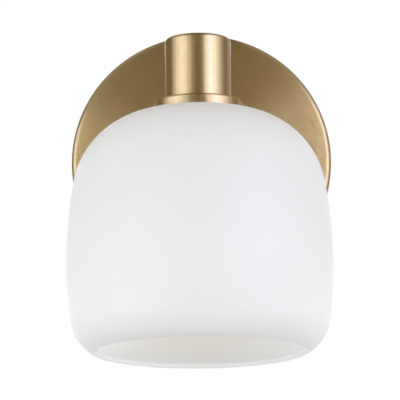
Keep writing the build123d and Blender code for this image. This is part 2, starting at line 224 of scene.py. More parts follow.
class StudioSettings(bpy.types.PropertyGroup):
    floor_depth: length("Floor depth", "How far the floor lies below the light", 3.1)
    camera_place: FloatVectorProperty(
        name="Camera", description="Where the camera stands", default=(0.03148, -2.0, -0.42072), size=3,
        subtype="TRANSLATION", precision=5,
    )
    camera_pitch: angle("Camera pitch", "How far the camera looks up", 11.36)
    camera_yaw: angle("Camera yaw", "How far the camera looks to its right", -0.94)
    camera_roll: angle("Camera roll", "How far the camera leans", -0.57)
    lens: plain("Lens", "Focal length in millimetres on a 36 mm sensor", 310.07)
    distance: length("Panel distance", "Distance of the light panels from the shade", 1.5)
    left_height: length("Left height", "Height of the left softbox", 1.9)
    right_height: length("Right height", "Height of the right softbox", 1.9)
    left_rise: angle("Left rise", "How far the left softbox is above the light", -4)
    right_rise: angle("Right rise", "How far the right softbox is above the light", 3)
    sides: plain("Side level", "Factor on the softboxes to the left and right", 1.0)
    fill: plain("Fill level", "Factor on the fill panels", 1.0)
    left_tint: colour("Left tint", "Tint of the left softbox", (0.82, 0.885, 1.0))
    right_tint: colour("Right tint", "Tint of the right softbox", (0.78, 0.81, 0.96))
    fill_tint: colour("Fill tint", "Tint of the fill panels", (0.945, 0.945, 0.965))
    low_tint: colour("Low tint", "Tint of the fill panels below the light", (0.78, 0.88, 1.0))
    core: plain("Core level", "Level of the right softbox's narrow core, which only mirrored rays see", 2.0)
    core_turn: angle("Core turn", "Turn of the core from the camera's side", 47)
    core_width: length("Core width", "Width of the core", 0.2)
    core_tint: colour("Core tint", "Tint of the core", (0.05, 0.05, 1.0))
    under_tint: colour("Under tint", "Tint of the fill panel under the mouth", (0.15, 0.4, 1.0))
    room: plain("Room", "Level of the dim room around the light", 0.268)
    room_tint: colour("Room tint", "Tint of the dim room", (1.0, 0.8, 0.4))
    floor_level: share("Floor level", "How pale the floor looks", 1.0)


class VanityLight(bpy.types.PropertyGroup):
    plate: PointerProperty(type=PlateSizes)
    arm: PointerProperty(type=ArmSizes)
    cup: PointerProperty(type=CupSizes)
    shade: PointerProperty(type=ShadeSizes)
    socket: PointerProperty(type=SocketSizes)
    ring: PointerProperty(type=RingSizes)
    fasteners: PointerProperty(type=FastenerSizes)
    wiring: PointerProperty(type=WiringSizes)
    colours: PointerProperty(type=FinishColours)
    studio: PointerProperty(type=StudioSettings)


def unit(vector):
    return vector / np.linalg.norm(vector)


def rounded(corners, steps=10):
    """Outline of (radius, height, fillet) corners. A filleted corner becomes an arc that touches both of
    its runs: its centre is on the bisector, at the fillet divided by the sine of half the corner's angle.
    A point a little way along each run, at a share of the fillet, holds the flats flat where they are
    shaded smooth."""
    hold_share = 0.12
    points = np.array([corner[:2] for corner in corners], float)
    outline = []
    for i, (*_, fillet) in enumerate(corners):
        if not fillet:
            outline.append(points[i:i + 1])
            continue
        before = unit(points[i - 1] - points[i])
        after = unit(points[(i + 1) % len(points)] - points[i])
        half = np.arccos(np.clip(before @ after, -1, 1)) / 2
        reach = fillet / np.tan(half)
        centre = points[i] + unit(before + after) * fillet / np.sin(half)
        start = points[i] + before * reach - centre
        end = points[i] + after * reach - centre
        turn = pi - 2 * half
        t = np.linspace(0, 1, steps)[:, None]
        arc = centre + (np.sin((1 - t) * turn) * start + np.sin(t * turn) * end) / np.sin(turn)
        hold = hold_share * fillet
        outline += [arc[:1] + before * hold, arc, arc[-1:] + after * hold]
    return np.concatenate(outline)


def arcs(start, heading, bends):
    """Outline from a start point and heading along arcs of (radius, turn, steps), each tangent to the last.
    An arc's centre is one radius to the side it turns to, and its points are that radius turned step by
    step about the centre. A turn to the left is positive."""
    point = np.array(start, float)
    outline = [point[None]]
    for radius, turn, steps in bends:
        side = np.sign(turn)
        centre = point + side * radius * np.array([-sin(heading), cos(heading)])
        t = heading + np.linspace(0, turn, steps + 1)[1:]
        outline.append(centre - side * radius * np.stack([-np.sin(t), np.cos(t)], 1))
        point = outline[-1][-1]
        heading += turn
    return np.concatenate(outline)


def turns(steps):
    """Even turns round a circle."""
    return np.linspace(0, TURN, steps, endpoint=False)


def turned(outline, steps):
    """Grid of an outline's (radius, height) points carried round z: x and y are the radius times the
    cosine and sine of the turn."""
    t = turns(steps)
    radius = outline[:, :1]
    return np.stack([radius * np.cos(t), radius * np.sin(t), outline[:, 1:] + 0 * t], 2)


def wave(phase):
    """Rounded thread form: 1 on the crest at a whole phase, 0 in the root half way between."""
    return 0.5 + 0.5 * np.cos(TURN * phase)


def threaded(radius, depth, pitch, bottom, top, steps, per_pitch):
    """Grid of a screw's flank: the radius drops by the depth times the thread form of height over pitch
    less the turn, which winds it, and the thread fades out over one pitch at each end."""
    rows = max(4, int(round((top - bottom) / pitch * per_pitch)))
    z = np.linspace(bottom, top, rows + 1)[:, None]
    t = turns(steps)
    fade = np.clip(np.minimum(z - bottom, top - z) / pitch, 0, 1)
    r = radius - depth * (1 - wave(z / pitch - t / TURN)) * fade
    return np.stack([r * np.cos(t), r * np.sin(t), z + 0 * t], 2)


def upright(settings, grid):
    """Moves a grid from the z axis to the upright axis of the cup and shade."""
    return grid + np.array([0, -settings.cup.reach, 0])


def outward(grid, x=0.0, z=0.0):
    """Turns a grid's z axis to point out of the wall, at a place on the wall."""
    return np.stack([grid[..., 0] + x, -grid[..., 2], grid[..., 1] + z], -1)


def corners_of(rows, columns, loop):
    """Corner numbers of a grid's four-sided faces. Columns always close on themselves, rows if loop."""
    r = np.arange(rows if loop else rows - 1)[:, None]
    c = np.arange(columns)[None, :]
    after, beside = (r + 1) % rows, (c + 1) % columns
    return np.stack(
        [r * columns + c, r * columns + beside, after * columns + beside, after * columns + c], 2
    ).reshape(-1, 4)


def add_object(name, data):
    item = bpy.data.objects.new(name, data)
    bpy.context.scene.collection.objects.link(item)
    return item


def make_piece(name, grids, replaces, slot, finish=None, body="fixture", loop=True, sharp=38):
    """Mesh object from closed grids of points, which rides on its body in place of its CAD nodes. Its finish
    has its slot's name unless another is given. Poles are merged, and the faces are turned so that the
    volume they enclose, the sum of the corners' triple products, is positive. Edges over the sharp angle
    stay sharp."""
    points, faces, total = [], [], 0
    for grid in grids:
        rows, columns = grid.shape[:2]
        faces.append(corners_of(rows, columns, loop) + total)
        points.append(grid.reshape(-1, 3))
        total += rows * columns
    points, faces = np.concatenate(points), np.concatenate(faces)
    a, b, c, d = (points[faces[:, k]] for k in range(4))
    if np.sum(a * np.cross(b, c)) + np.sum(a * np.cross(c, d)) < 0:
        faces = faces[:, ::-1]
    mesh = bpy.data.meshes.new(name)
    mesh.from_pydata(points.tolist(), [], faces.tolist())
    form = bmesh.new()
    form.from_mesh(mesh)
    bmesh.ops.remove_doubles(form, verts=form.verts, dist=MERGE)
    bmesh.ops.dissolve_degenerate(form, edges=form.edges, dist=SLIVER)
    form.to_mesh(mesh)
    form.free()
    mesh.shade_smooth()
    mesh.set_sharp_from_angle(angle=radians(sharp))
    mesh.materials.append(FINISHES[finish or slot])
    piece = add_object(name, mesh)
    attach(piece, body)
    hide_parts(*replaces)


class Value:
    """An output socket. Arithmetic on it adds Math nodes to its tree."""

    def __init__(self, tree, socket):
        self.tree = tree
        self.socket = socket

    def math(self, operation, first, second):
        return self.tree.add("ShaderNodeMath", {"operation": operation}, {0: first, 1: second})

    def __add__(self, other):
        return self.math("ADD", self, other)

    def __sub__(self, other):
        return self.math("SUBTRACT", self, other)

    def __rsub__(self, other):
        return self.math("SUBTRACT", other, self)

    def __mul__(self, other):
        return self.math("MULTIPLY", self, other)

    __radd__ = __add__
    __rmul__ = __mul__


class Tree:
    """A node tree, with the one way to add a node to it."""

    def __init__(self, owner):
        owner.use_nodes = True
        self.nodes = owner.node_tree.nodes
        self.links = owner.node_tree.links
        self.nodes.clear()

    def add(self, kind, settings=None, inputs=None, output=0):
        """Adds a node of a kind, sets its settings and then its sockets, and gives one of its outputs."""
        node = self.nodes.new(kind)
        for key, value in (settings or {}).items():
            setattr(node, key, value)
        for key, value in (inputs or {}).items():
            if isinstance(value, Value):
                self.links.new(value.socket, node.inputs[key])
            else:
                node.inputs[key].default_value = value
        return Value(self, node.outputs[output]) if node.outputs else None

    def vector(self, operation, first, second=(0, 0, 0), output=0):
        return self.add("ShaderNodeVectorMath", {"operation": operation}, {0: first, 1: second}, output)

    def blend(self, factor, first, second):
        """Colour mix from the first to the second."""
        rgba = [value if isinstance(value, Value) else (*value, 1) for value in (first, second)]
        return self.add("ShaderNodeMix", {"data_type": "RGBA"}, {0: factor, 6: rgba[0], 7: rgba[1]}, 2)

    def place(self):
        return self.add("ShaderNodeTexCoord", output="Object")

    def noise(self, place, scale, detail=2.0, stretch=(1, 1, 1)):
        """Noise between about 0.3 and 0.7 with features of one over the scale, stretched along an axis."""
        place = self.vector("MULTIPLY", place, stretch)
        return self.add("ShaderNodeTexNoise", None, {"Vector": place, "Scale": scale, "Detail": detail})

    def bump(self, height, distance, strength):
        inputs = {"Height": height, "Distance": distance, "Strength": strength}
        return self.add("ShaderNodeBump", None, inputs)


def shaded(tint, factor):
    return tuple(factor * part for part in tint)


FINISHES = {}


def add_finish(name, build):
    """Material whose shader a build function wires up from a tree, kept by its name."""
    material = bpy.data.materials.new(name)
    tree = Tree(material)
    surface = tree.add("ShaderNodeBsdfPrincipled", None, build(tree))
    tree.add("ShaderNodeOutputMaterial", None, {"Surface": surface})
    FINISHES[name] = material


def brushed_brass(name, colours, axis, centre, tilt=2.1, lean=0.0):
    """Satin brass brushed on a lathe. Fine grooves, each some millimetres long, run round the axis and tilt
    the normal along the profile by their own small amounts, so that reflections spread across the grooves.
    Grooves that the brush drags outwards lean that way as a whole."""

    def build(tree):
        place = tree.place()
        normal = tree.add("ShaderNodeNewGeometry", output="Normal")
        offset = tree.vector("SUBTRACT", place, centre)
        round_axis = tree.vector("CROSS_PRODUCT", axis, offset)
        along = tree.vector("CROSS_PRODUCT", tree.vector("NORMALIZE", round_axis), normal)
        across = tree.vector("LENGTH", round_axis, output=1) + tree.vector("DOT_PRODUCT", offset, axis, 1)

        def strokes(scale, stretch, detail):
            """Noise drawn out round the axis: it runs through its fourth dimension across the grooves."""
            return tree.add(
                "ShaderNodeTexNoise", {"noise_dimensions": "4D"},
                {"Vector": place, "W": across * stretch, "Scale": scale, "Detail": detail},
            )

        groove = strokes(scale=160.0, stretch=900.0, detail=1.0)
        streak = strokes(scale=70.0, stretch=20.0, detail=3.0)
        amount = (groove - 0.5) * tilt + lean
        slope = tree.add("ShaderNodeVectorMath", {"operation": "SCALE"}, {0: along, "Scale": amount})
        cloud = tree.noise(place, scale=60.0)
        return {
            "Base Color": tree.blend(cloud * 0.5 + streak * 0.5, colours.brass, colours.brass_deep),
            "Metallic": 1.0,
            "Roughness": 0.21 + streak * 0.08,
            "Coat Weight": 0.9,
            "Coat Roughness": 0.2,
            "Coat IOR": 1.65,
            "Normal": tree.vector("NORMALIZE", tree.vector("ADD", normal, slope)),
        }

    add_finish(name, build)


def opal_glass(colours):
    """Satin-etched opal glass: white body, light that soaks through the wall, and a faint etched grain."""

    def build(tree):
        place = tree.place()
        cloud = tree.noise(place, scale=25.0)
        etch = tree.noise(place, scale=2600.0, detail=1.0)
        dim = shaded(colours.glass, 0.992)
        return {
            "Base Color": tree.blend(cloud, colours.glass, dim),
            "Roughness": 0.5 + etch * 0.1,
            "IOR": 1.5,
            "Subsurface Weight": 1.0,
            "Subsurface Radius": (1.0, 1.0, 1.0),
            "Subsurface Scale": 0.045,
            "Normal": tree.bump(etch, distance=0.00002, strength=0.4),
        }

    add_finish("opal_glass", build)


def plated(name, tint, roughness, grain, stretch=(1, 1, 1)):
    """Plated or bare metal: cloudy tone, drawn grain in the roughness and a shallow grain in the normal."""

    def build(tree):
        place = tree.place()
        cloud = tree.noise(place, scale=140.0, detail=3.0)
        lines = tree.noise(place, grain, stretch=stretch)
        return {
            "Base Color": tree.blend(cloud, tint, shaded(tint, 0.8)),
            "Metallic": 1.0,
            "Roughness": roughness - 0.1 + lines * 0.2,
            "Normal": tree.bump(lines, distance=0.00003, strength=0.5),
        }

    add_finish(name, build)


def moulded(name, tint, roughness, coat=0.0, grain=900.0):
    """Plastic, rubber or glazed clay: slightly uneven colour and sheen over a fine skin."""

    def build(tree):
        place = tree.place()
        cloud = tree.noise(place, scale=90.0, detail=3.0)
        skin = tree.noise(place, grain)
        return {
            "Base Color": tree.blend(cloud, tint, shaded(tint, 0.88)),
            "Roughness": roughness - 0.06 + skin * 0.12,
            "Coat Weight": coat,
            "Coat Roughness": 0.08,
            "Normal": tree.bump(skin, distance=0.00002, strength=0.5),
        }

    add_finish(name, build)


def background_rays(tree):
    """Two masks of the rays that show the background: from the camera, and mirrored or let through."""
    rays = "Camera", "Glossy", "Transmission"
    camera, glossy, through = (tree.add("ShaderNodeLightPath", output=f"Is {ray} Ray") for ray in rays)
    return camera, glossy + through


def pale_floor(level):
    """Pale floor with a faint cloud in it, which shows at an even level whatever light reaches it."""
    material = bpy.data.materials.new("pale_floor")
    tree = Tree(material)
    camera, mirrored = background_rays(tree)
    cloud = tree.noise(tree.place(), scale=0.8)
    tone = tree.blend(cloud, (1.0, 1.0, 1.0), (0.97, 0.97, 0.97))
    matt = tree.add("ShaderNodeBsdfDiffuse", None, {"Color": tone})
    shown = tree.add("ShaderNodeEmission", None, {"Color": tone, "Strength": level})
    surface = tree.add("ShaderNodeMixShader", None, {0: (camera + mirrored) * 0.8, 1: matt, 2: shown})
    tree.add("ShaderNodeOutputMaterial", None, {"Surface": surface})
    return material


class VANITY_OT_finishes(bpy.types.Operator):
    """Makes the finishes and gives them to the CAD nodes that stay in view"""

    bl_idname = "vanity.finishes"
    bl_label = "Finishes"

    def execute(self, context):
        settings = context.scene.vanity_light
        colours = settings.colours
        cup_foot, arm_start = (0, -settings.cup.reach, 0), (0, 0, settings.arm.rise)
        brushed_brass("plate_brass", colours, axis=(0, 1, 0), centre=(0, 0, 0), lean=-0.06)
        brushed_brass("cup_brass", colours, axis=(0, 0, 1), centre=cup_foot)
        brushed_brass("arm_brass", colours, axis=(0, 1, 0), centre=arm_start)
        opal_glass(colours)
        plated("knurl_brass", colours.brass, roughness=0.3, grain=1500.0)
        plated("zinc_steel", colours.zinc, roughness=0.34, grain=900.0, stretch=(1, 1, 4))
        plated("green_screw", colours.green, roughness=0.32, grain=1200.0)
        plated("nickel_shell", colours.nickel, roughness=0.26, grain=1200.0, stretch=(1, 1, 5))
        plated("contact_brass", colours.contact, roughness=0.3, grain=1200.0, stretch=(1, 6, 6))
        plated("bare_copper", colours.copper, roughness=0.3, grain=1500.0)
        moulded("porcelain", colours.porcelain, roughness=0.3, coat=0.6, grain=300.0)
        moulded("silicone", colours.silicone, roughness=0.55)
        moulded("black_insulation", colours.black, roughness=0.35)
        moulded("white_insulation", colours.white, roughness=0.35)
        moulded("connector_plastic", colours.connector, roughness=0.5)
        for part in frame["record"]["subparts"]:
            slot = "cup_brass" if part["material_slot"] == "brushed_brass" else part["material_slot"]
            materials = frame["nodes"][part["node"]].data.materials
            materials.clear()
            materials.append(FINISHES[slot])
        return {"FINISHED"}


class VANITY_OT_plate(bpy.types.Operator):
    """Spun wall plate, open at the back, whose flat front goes over two arcs into its edge"""

    bl_idname = "vanity.plate"
    bl_label = "Wall plate"

    def execute(self, context):
        plate = context.scene.vanity_light.plate
        inner, floor = plate.radius - plate.wall, plate.depth - plate.wall
        bend = sin(plate.crown_turn)
        flat = plate.radius - plate.edge * (1 - bend) - plate.crown * bend
        bends = [(plate.crown, -plate.crown_turn, 16), (plate.edge, plate.crown_turn - pi / 2, 24)]
        front = arcs((flat, plate.depth), 0.0, bends)
        back = rounded([
            (*front[-1], 0), (plate.radius, 0, plate.rim), (inner, 0, plate.rim),
            (inner, floor, plate.edge - plate.wall), (0, floor, 0),
        ])
        outline = np.concatenate([[(0, plate.depth), (flat - plate.hold, plate.depth)], front, back[1:]])
        pan = outward(turned(outline, steps=360))
        make_piece("plate_pan", [pan], ["wall_plate"], "brushed_brass", "plate_brass", loop=False)
        return {"FINISHED"}


class VANITY_OT_arm(bpy.types.Operator):
    """Arm from the plate to the cup, fitted round the cup, and the threaded pipe inside it"""

    bl_idname = "vanity.arm"
    bl_label = "Arm and pipe"

    def execute(self, context):
        settings = context.scene.vanity_light
        arm, cup = settings.arm, settings.cup
        steps = 96
        t = turns(steps)
        bore = arm.radius - arm.wall
        rows = []
        for radius, fitted in ((arm.radius, False), (arm.radius, True), (bore, True), (bore, False)):
            x, z = radius * np.cos(t), radius * np.sin(t) + arm.rise
            saddle = -cup.reach + np.sqrt((cup.radius + cup.fit) ** 2 - x**2)
            rows.append(np.stack([x, saddle if fitted else 0 * t - settings.plate.depth, z], 1))
        make_piece("arm_sleeve", [np.stack(rows)], ["arm_tube"], "brushed_brass", "arm_brass")

        steps = 40
        start, end = -high("threaded_pipe").y, -low("threaded_pipe").y
        flank = threaded(arm.pipe_radius, arm.pipe_thread, arm.pipe_pitch, start, end, steps, per_pitch=6)
        hollow = turned(np.array([(arm.pipe_bore, end), (arm.pipe_bore, start)]), steps)
        pipe = outward(np.concatenate([flank, hollow]), z=arm.rise)
        make_piece("pipe_thread", [pipe], ["threaded_pipe"], "zinc_steel", sharp=60)
        return {"FINISHED"}


class VANITY_OT_cup(bpy.types.Operator):
    """Upright socket cup with its closed top, and the collar under it"""

    bl_idname = "vanity.cup"
    bl_label = "Cup and collar"

    def execute(self, context):
        settings = context.scene.vanity_light
        cup = settings.cup
        top, bottom = high("socket_cup").z, low("socket_cup").z
        bore, roof = cup.radius - cup.wall, top - cup.wall
        outline = rounded([
            (0, top, 0), (cup.radius, top, cup.edge), (cup.radius, bottom, cup.rim),
            (bore, bottom, 0), (bore, roof, cup.edge - cup.wall), (0, roof, 0),
        ])
        steps = 192
        shell = upright(settings, turned(outline, steps))
        make_piece("cup_shell", [shell], ["socket_cup"], "brushed_brass", "cup_brass", loop=False)

        seat, lip, spigot_top = high("upper_gasket").z, low("shade_collar").z, high("shade_collar").z
        radius, bore, ease = cup.collar_radius, cup.collar_bore, cup.collar_ease
        skirt = radius - cup.collar_skirt
        outline = rounded([
            (bore, seat, 0), (skirt, seat, ease), (skirt, lip, ease), (radius, lip, ease),
            (radius, bottom, cup.collar_edge), (cup.spigot, bottom, 0), (cup.spigot, spigot_top, ease),
            (bore, spigot_top, ease),
        ])
        disc = upright(settings, turned(outline, steps))
        make_piece("collar_disc", [disc], ["shade_collar"], "brushed_brass", "cup_brass")
        return {"FINISHED"}


class VANITY_OT_shade(bpy.types.Operator):
    """Blown opal shade: an even wall along three arcs, with a fire-rounded lip"""

    bl_idname = "vanity.shade"
    bl_label = "Glass shade"

    def execute(self, context):
        settings = context.scene.vanity_light
        shade = settings.shade
        top = high("glass_shade").z
        bends = (
            (shade.shoulder, shade.shoulder_turn, 44), (shade.side, shade.side_turn, 44),
            (shade.corner, shade.corner_turn, 24),
        )
        outside = [(radius, -turn, steps) for radius, turn, steps in bends]
        lip = [(shade.wall / 2, -pi, 14)]
        inside = [(radius - shade.wall, turn, steps) for radius, turn, steps in reversed(bends)]
        wall = arcs((shade.flat, top), 0.0, outside + lip + inside)
        edge = shade.neck_edge
        quarter = [(edge, -pi / 2, 6)]
        under = arcs((shade.neck + edge, top - shade.wall), pi, quarter)
        crown = arcs((shade.neck, top - edge), pi / 2, quarter)
        outline = np.concatenate([wall, under, crown])
        glass = upright(settings, turned(outline, steps=256))
        make_piece("shade_glass", [glass], ["glass_shade"], "opal_glass", body="shade")
        return {"FINISHED"}


class VANITY_OT_socket(bpy.types.Operator):
    """Porcelain lamp socket with its threaded skirt, and the rolled screw shell inside it"""

    bl_idname = "vanity.socket"
    bl_label = "Lamp socket"

    def execute(self, context):
        settings = context.scene.vanity_light
        socket = settings.socket
        top, bottom = high("socket_body").z, low("socket_body").z
        shoulder, seat = high("upper_gasket").z, high("screw_shell").z
        well = seat + socket.well_depth
        per_pitch, steps = 14, 128
        edge, face = socket.edge, socket.skirt - socket.edge
        corners = [(0, top, 0), (socket.head, top, edge), (socket.head, shoulder, 0), (0, shoulder, 0)]
        head = turned(np.concatenate([rounded(corners)[:-1], [(face, shoulder)]]), steps)
        span = bottom + edge, shoulder - edge
        skirt = threaded(socket.skirt, socket.thread, socket.pitch, *span, steps, per_pitch)
        cavity, ease = socket.cavity, socket.ease
        hollow = turned(np.array([
            (face, bottom), (cavity + ease, bottom), (cavity, bottom + ease), (cavity, seat),
            (socket.well, seat), (socket.well, well), (0, well),
        ]), steps)
        body = upright(settings, np.concatenate([head, skirt[::-1], hollow]))
        make_piece("socket_porcelain", [body], ["socket_body"], "porcelain", loop=False)

        steps = 96
        rim, floor = low("screw_shell").z, seat - socket.shell_wall
        bore, hole = socket.shell_bore, socket.shell_hole
        outside = bore + socket.shell_wall
        inner, outer = (
            threaded(radius, socket.lamp_thread, socket.lamp_pitch, rim, floor, steps, per_pitch)
            for radius in (bore, outside)
        )
        end = turned(np.array([(hole, floor), (hole, seat), (outside, seat)]), steps)
        shell = upright(settings, np.concatenate([inner, end, outer[::-1]]))
        make_piece("shell_thread", [shell], ["screw_shell"], "nickel_shell", sharp=60)
        return {"FINISHED"}


class VANITY_OT_ring(bpy.types.Operator):
    """Ring that clamps the glass from inside: a flange over a fluted grip"""

    bl_idname = "vanity.ring"
    bl_label = "Shade ring"

    def execute(self, context):
        settings = context.scene.vanity_light
        ring = settings.ring
        top, bottom = high("shade_ring").z, low("shade_ring").z
        under = top - ring.flange_height
        outline = rounded([
            (ring.bore, top, ring.edge), (ring.flange, top, ring.edge), (ring.flange, under, ring.edge),
            (ring.body, under, 0), (ring.body, bottom, ring.edge), (ring.bore, bottom, ring.edge),
        ], steps=5)
        per_flute = 18
        steps = ring.flutes * per_flute
        grid = turned(outline, steps)
        t = turns(steps)
        pitch = TURN / ring.flutes
        away = (t + pitch / 2) % pitch - pitch / 2
        centre = ring.body + ring.flute_radius - ring.flute_depth
        reach = ring.flute_radius**2 - (centre * np.sin(away)) ** 2
        cut = np.where(reach > 0, centre * np.cos(away) - np.sqrt(np.maximum(reach, 0)), ring.body)
        fluted = (outline[:, 1] < under + MERGE) & (outline[:, 0] > ring.bore + 2 * ring.edge)
        factor = np.where(fluted[:, None], np.minimum(cut, ring.body) / ring.body, 1.0)
        grid[..., :2] *= factor[..., None]
        grip = [upright(settings, grid)]
        make_piece("ring_grip", grip, ["shade_ring"], "brushed_brass", "knurl_brass", "clamp_ring", sharp=50)
        return {"FINISHED"}


class VANITY_OT_fasteners(bpy.types.Operator):
    """Threaded studs through the plate and the knurled cap nuts that hold it"""

    bl_idname = "vanity.fasteners"
    bl_label = "Studs and cap nuts"

    def execute(self, context):
        settings = context.scene.vanity_light
        parts, depth = settings.fasteners, settings.plate.depth
        sides = (-parts.stud_offset, parts.stud_offset)
        tip, steps = -low("mounting_studs").y, 28
        flank = threaded(parts.stud_radius, parts.stud_thread, parts.stud_pitch, 0, tip, steps, per_pitch=8)
        ends = [turned(np.array([(0, z)]), steps) for z in (0, tip)]
        stud = np.concatenate([ends[0], flank, ends[1]])
        studs = [outward(stud, x) for x in sides]
        make_piece("stud_thread", studs, ["mounting_studs"], "zinc_steel", loop=False, sharp=60)

        radius, ease, foot = parts.nut_radius, parts.nut_ease, parts.nut_foot
        wall = depth + parts.nut_height - parts.nut_dome
        dome_radius = (radius**2 + parts.nut_dome**2) / (2 * parts.nut_dome)
        swing = np.linspace(np.arcsin(radius / dome_radius), 0, 14)[1:]
        centre = depth + parts.nut_height - dome_radius
        dome = np.stack([dome_radius * np.sin(swing), centre + dome_radius * np.cos(swing)], 1)
        start, end = depth + 3 * ease, wall - ease
        skirt = np.array([
            (0, depth), (radius - foot, depth), (radius - foot / 4, depth + ease), (radius, start),
            (radius, start + ease), (radius, end - ease), (radius, end), (radius, wall),
        ])
        per_knurl = 8
        steps = parts.knurls * per_knurl
        outline = np.concatenate([skirt, dome])
        grid = turned(outline, steps)
        t = turns(steps)
        groove = parts.knurl_depth * (1 - np.abs(np.sin(parts.knurls * t / 2)))
        band = np.clip(np.minimum(outline[:, 1] - start, end - outline[:, 1]) / ease, 0, 1)
        grid[..., :2] *= (1 - band[:, None] * groove / radius)[..., None]
        nuts = [outward(grid, x) for x in sides]
        make_piece("cap_nut_knurl", nuts, ["cap_nuts"], "brushed_brass", "knurl_brass", loop=False, sharp=50)
        return {"FINISHED"}


class VANITY_OT_wiring(bpy.types.Operator):
    """Leads from the socket through the pipe, the bare ground lead, and their twist-on connectors"""

    bl_idname = "vanity.wiring"
    bl_label = "Leads and connectors"

    # From the socket's top, round in front of the pipe, through it and out to a splice
    ROUTE = (
        (0.011, -0.108, 0.0181), (0.011, -0.108, 0.0276), (0.0103, -0.113, 0.033), (0.007, -0.1175, 0.0342),
        (0.003, -0.1175, 0.0342), (0.0016, -0.1118, 0.0336), (0.0016, -0.106, 0.0336),
        (0.0016, -0.0175, 0.0336), (0.0016, -0.0095, 0.0336), (0.0095, -0.008, 0.0336),
        (0.0215, -0.008, 0.0336),
    )
    # From under the grounding screw's washer down to its own splice
    GROUND_ROUTE = (
        (0.02295, -0.00295, 0.0046), (0.02295, -0.00295, -0.009), (0.02295, -0.008, -0.015),
        (0.02295, -0.008, -0.0245),
    )

    def lead(self, name, route, radius, slot, node):
        """Round wire along parabolas. Each runs from the middle of one straight of the route to the middle
        of the next, with the corner between them as its control point. The first and last reach the ends.
        The wire's circles stand across that line. A circle's first arm is that of the circle before, less
        its share along the line, and the second is square to both."""
        route = np.array(route)
        middles = (route[:-1] + route[1:]) / 2
        middles[0], middles[-1] = route[0], route[-1]
        per_bend, steps = 12, 20
        t = np.linspace(0, 1, per_bend + 1)[1:, None]
        line, ways = [route[:1]], [route[1:2] - route[:1]]
        for start, corner, end in zip(middles, route[1:], middles[1:]):
            line.append((1 - t) ** 2 * start + 2 * t * (1 - t) * corner + t**2 * end)
            ways.append((1 - t) * (corner - start) + t * (end - corner))
        line, ways = np.concatenate(line), np.concatenate(ways)
        turn = turns(steps)[:, None]
        arm = np.array([1.0, 0.0, 0.0])
        circles = []
        for point, way in zip(line, map(unit, ways)):
            arm = unit(arm - (arm @ way) * way)
            circles.append(point + radius * (np.cos(turn) * arm + np.sin(turn) * np.cross(way, arm)))
        ends = [np.repeat(line[k][None], steps, 0) for k in (0, -1)]
        grid = np.stack([ends[0], *circles, ends[1]])
        make_piece(name, [grid], [node], slot, loop=False)

    def connector(self, wiring):
        """Closed cone about z. Its radius runs from mouth to tip and drops between the ribs by the rib depth
        times one less the rib form, a power of the cosine of half the turn times the number of ribs. The
        outline gets points at even distances, so that the ribs run out smoothly."""
        mouth, tip, end = wiring.mouth, wiring.tip, wiring.connector
        hole, recess = mouth - wiring.wall, wiring.recess
        inner_edge, outer_edge, skirt_edge, tip_edge = 0.0003, 0.0004, 0.0005, 0.0012
        outline = rounded([
            (0, recess, 0), (hole, recess, 0), (hole, 0, inner_edge), (mouth, 0, outer_edge),
            (mouth, wiring.skirt, skirt_edge), (tip, end, tip_edge), (0, end, 0),
        ], steps=8)
        rows, per_rib, power = 120, 10, 0.6
        run = np.concatenate([[0], np.cumsum(np.linalg.norm(np.diff(outline, axis=0), axis=1))])
        even = np.union1d(run / run[-1], np.linspace(0, 1, rows)) * run[-1]
        outline = np.stack([np.interp(even, run, outline[:, k]) for k in (0, 1)], 1)
        steps = wiring.ribs * per_rib
        grid = turned(outline, steps)
        t = turns(steps)
        rib = np.abs(np.cos(wiring.ribs * t / 2)) ** power
        below = outline[:, 1] - wiring.skirt
        above = end - wiring.rib_ease / 2 - outline[:, 1]
        band = np.clip(below / wiring.rib_ease, 0, 1) * np.clip(above / wiring.rib_ease, 0, 1)
        grid[..., :2] *= (1 - wiring.rib_depth * band[:, None] * (1 - rib))[..., None]
        return grid

    def execute(self, context):
        settings = context.scene.vanity_light
        wiring = settings.wiring
        mirrored = tuple((-x, y, z) for x, y, z in self.ROUTE)
        self.lead("line_wire", mirrored, wiring.lead, "black_insulation", "line_lead")
        self.lead("neutral_wire", self.ROUTE, wiring.lead, "white_insulation", "neutral_lead")
        self.lead("ground_wire", self.GROUND_ROUTE, wiring.ground_lead, "bare_copper", "ground_lead")
        cone = self.connector(wiring)
        x, y, z = (cone[..., k] for k in range(3))
        reach = high("wire_connectors").x - wiring.connector
        out, rise = middle("wire_connectors").y, settings.arm.rise
        drop = low("wire_connectors").z + wiring.connector
        grids = [
            np.stack([reach + z, out + y, rise - x], -1),
            np.stack([-reach - z, out + y, rise + x], -1),
            np.stack([self.GROUND_ROUTE[0][0] + x, out - y, drop - z], -1),
        ]
        make_piece("connector_caps", grids, ["wire_connectors"], "connector_plastic", loop=False, sharp=50)
        return {"FINISHED"}


